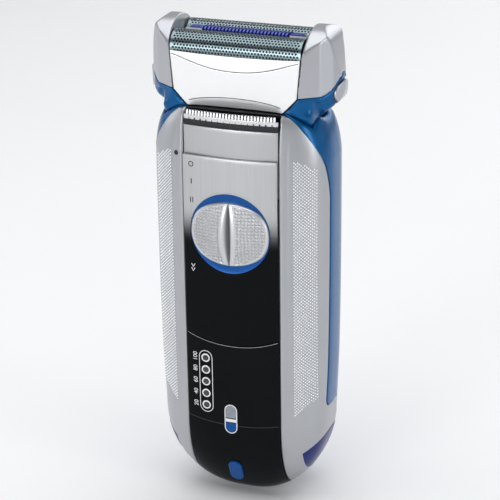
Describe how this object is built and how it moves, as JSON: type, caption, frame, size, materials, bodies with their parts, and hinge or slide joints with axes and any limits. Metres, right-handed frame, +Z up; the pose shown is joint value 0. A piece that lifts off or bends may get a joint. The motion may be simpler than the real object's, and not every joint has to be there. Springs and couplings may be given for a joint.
{
  "type": "electric shaver",
  "caption": "Cordless foil shaver with a tilting shaving head, lift-off foil cassette, slide switch with ridged knob, pop-up long-hair trimmer and a display strip.",
  "frame": {"origin": "centre of the bounding box in plan, on the plane that touches the bottom of the handle", "axes": "+Z up the handle to the shaving head, -Y out of the front with the switch, +X to the object's left-hand side as it is faced"},
  "size_m": [0.064, 0.0406, 0.16],
  "materials": {
    "silver_shell": "silver coated plastic shell, satin",
    "blue_gloss": "metallic blue gloss",
    "violet_inlay": "dark purplish blue gloss",
    "black_gloss": "black gloss",
    "black_matte": "black satin",
    "brushed": "vertical brushed, fading to gloss black at the lower end",
    "silver_gloss": "bright silver plated",
    "foil_steel": "perforated foil",
    "violet_steel": "violet blue coated comb",
    "steel": "ground steel",
    "rubber_black": "ribbed rubber",
    "copper": "plated contact metal",
    "board_green": "lacquered board",
    "cell_wrap": "shrink wrap",
    "white_lens": "translucent white",
    "white_matte": "white frame plastic",
    "grey_matte": "grey moulded plastic"
  },
  "bodies": {
    "root": {"front_shell": "silver_shell", "rear_shell": "blue_gloss", "display_panel": "black_gloss", "slider_track": "black_matte", "corner_inlay_left": "violet_inlay", "corner_inlay_right": "violet_inlay", "rear_grip_pad": "rubber_black", "charge_contacts": "copper", "housing_screws": "steel", "chassis": "white_matte", "battery_cells": "cell_wrap", "battery_tabs": "copper", "circuit_board": "board_green", "board_components": "black_matte", "indicator_leds": "white_matte", "light_guide": "white_lens", "ring_lenses": "white_lens", "cutter_indicator_lens": "white_lens", "charging_socket": "black_matte", "charging_pins": "copper", "motor_case": "steel", "motor_mount": "grey_matte", "guide_rods": "steel", "drive_seal": "rubber_black", "pivot_posts": "grey_matte", "index_dot": "black_matte"},
    "rotor": {"motor_shaft": "steel", "eccentric_cam": "white_matte"},
    "bridge": {"drive_bridge": "white_matte", "drive_pin": "steel"},
    "switch": {"switch_plate": "brushed", "switch_dish": "blue_gloss", "switch_knob": "silver_gloss", "switch_carriage": "grey_matte", "switch_wiper": "copper"},
    "trimmer": {"trimmer_cover": "brushed", "trimmer_carrier": "black_matte", "trimmer_comb": "steel"},
    "trimmer_blade_body": {"trimmer_blade": "steel"},
    "head": {"head_drum": "black_matte", "head_yoke_left": "blue_gloss", "head_yoke_right": "blue_gloss", "head_arm_left": "silver_gloss", "head_arm_right": "silver_gloss", "pivot_pins": "steel", "release_springs": "steel"},
    "cutter": {"cutter_carrier": "white_matte", "cutter_springs": "steel"},
    "cutter_front": {"cutter_block_front": "steel"},
    "cutter_rear": {"cutter_block_rear": "steel"},
    "cassette": {"cassette_frame": "silver_gloss"},
    "foil_front_body": {"foil_front": "foil_steel", "foil_clips_front": "black_matte"},
    "foil_rear_body": {"foil_rear": "foil_steel", "foil_clips_rear": "black_matte"},
    "mid_trimmer": {"middle_trimmer": "violet_steel"},
    "release_left": {"release_button_left": "silver_gloss"},
    "release_right": {"release_button_right": "silver_gloss"},
    "reset": {"reset_button": "blue_gloss"}
  },
  "joints": [
    {"name": "switch_slide", "type": "slide", "parent": "root", "child": "switch", "axis": [0, 0, 1], "range_m": [0, 0.014]},
    {"name": "trimmer_slide", "type": "slide", "parent": "root", "child": "trimmer", "axis": [0, 0, 1], "range_m": [0, 0.008]},
    {"name": "trimmer_blade_slide", "type": "slide", "parent": "trimmer", "child": "trimmer_blade_body", "axis": [1, 0, 0], "range_m": [-0.0006, 0.0006]},
    {"name": "head_tilt", "type": "hinge", "parent": "root", "child": "head", "pos_m": [0, 0.00098, 0.1395], "axis": [1, 0, 0], "range_deg": [-12, 12]},
    {"name": "cassette_lift", "type": "slide", "parent": "head", "child": "cassette", "axis": [0, 0, 1], "range_m": [0, 0.025]},
    {"name": "foil_front_float", "type": "slide", "parent": "cassette", "child": "foil_front_body", "axis": [0, 0, -1], "range_m": [0, 0.0015]},
    {"name": "foil_rear_float", "type": "slide", "parent": "cassette", "child": "foil_rear_body", "axis": [0, 0, -1], "range_m": [0, 0.0015]},
    {"name": "middle_trimmer_float", "type": "slide", "parent": "cassette", "child": "mid_trimmer", "axis": [0, 0, -1], "range_m": [0, 0.0015], "stiffness_N_per_m": 400, "springref_m": -0.0005},
    {"name": "cutter_slide", "type": "slide", "parent": "head", "child": "cutter", "axis": [1, 0, 0], "range_m": [-0.001, 0.001]},
    {"name": "cutter_front_float", "type": "slide", "parent": "cutter", "child": "cutter_front", "axis": [0, 0, -1], "range_m": [0, 0.0015], "stiffness_N_per_m": 400, "springref_m": -0.0005},
    {"name": "cutter_rear_float", "type": "slide", "parent": "cutter", "child": "cutter_rear", "axis": [0, 0, -1], "range_m": [0, 0.0015], "stiffness_N_per_m": 400, "springref_m": -0.0005},
    {"name": "bridge_slide", "type": "slide", "parent": "root", "child": "bridge", "axis": [1, 0, 0], "range_m": [-0.001, 0.001]},
    {"name": "motor_spin", "type": "hinge", "parent": "root", "child": "rotor", "pos_m": [0, 0.00648, 0.112], "axis": [0, 0, 1], "continuous": true},
    {"name": "release_left_press", "type": "slide", "parent": "head", "child": "release_left", "axis": [1, 0, 0], "range_m": [0, 0.001], "stiffness_N_per_m": 800, "springref_m": -0.0005},
    {"name": "release_right_press", "type": "slide", "parent": "head", "child": "release_right", "axis": [-1, 0, 0], "range_m": [0, 0.001], "stiffness_N_per_m": 800, "springref_m": -0.0005},
    {"name": "reset_press", "type": "slide", "parent": "root", "child": "reset", "axis": [0, 0.9135, 0.4067], "range_m": [0, 0.0008], "stiffness_N_per_m": 1000, "springref_m": -0.0005}
  ],
  "couplings": [
    {"joint": "cutter_slide", "follows": "bridge_slide", "ratio": 1},
    {"joint": "foil_front_float", "follows": "cutter_front_float", "ratio": 1},
    {"joint": "foil_rear_float", "follows": "cutter_rear_float", "ratio": 1}
  ]
}
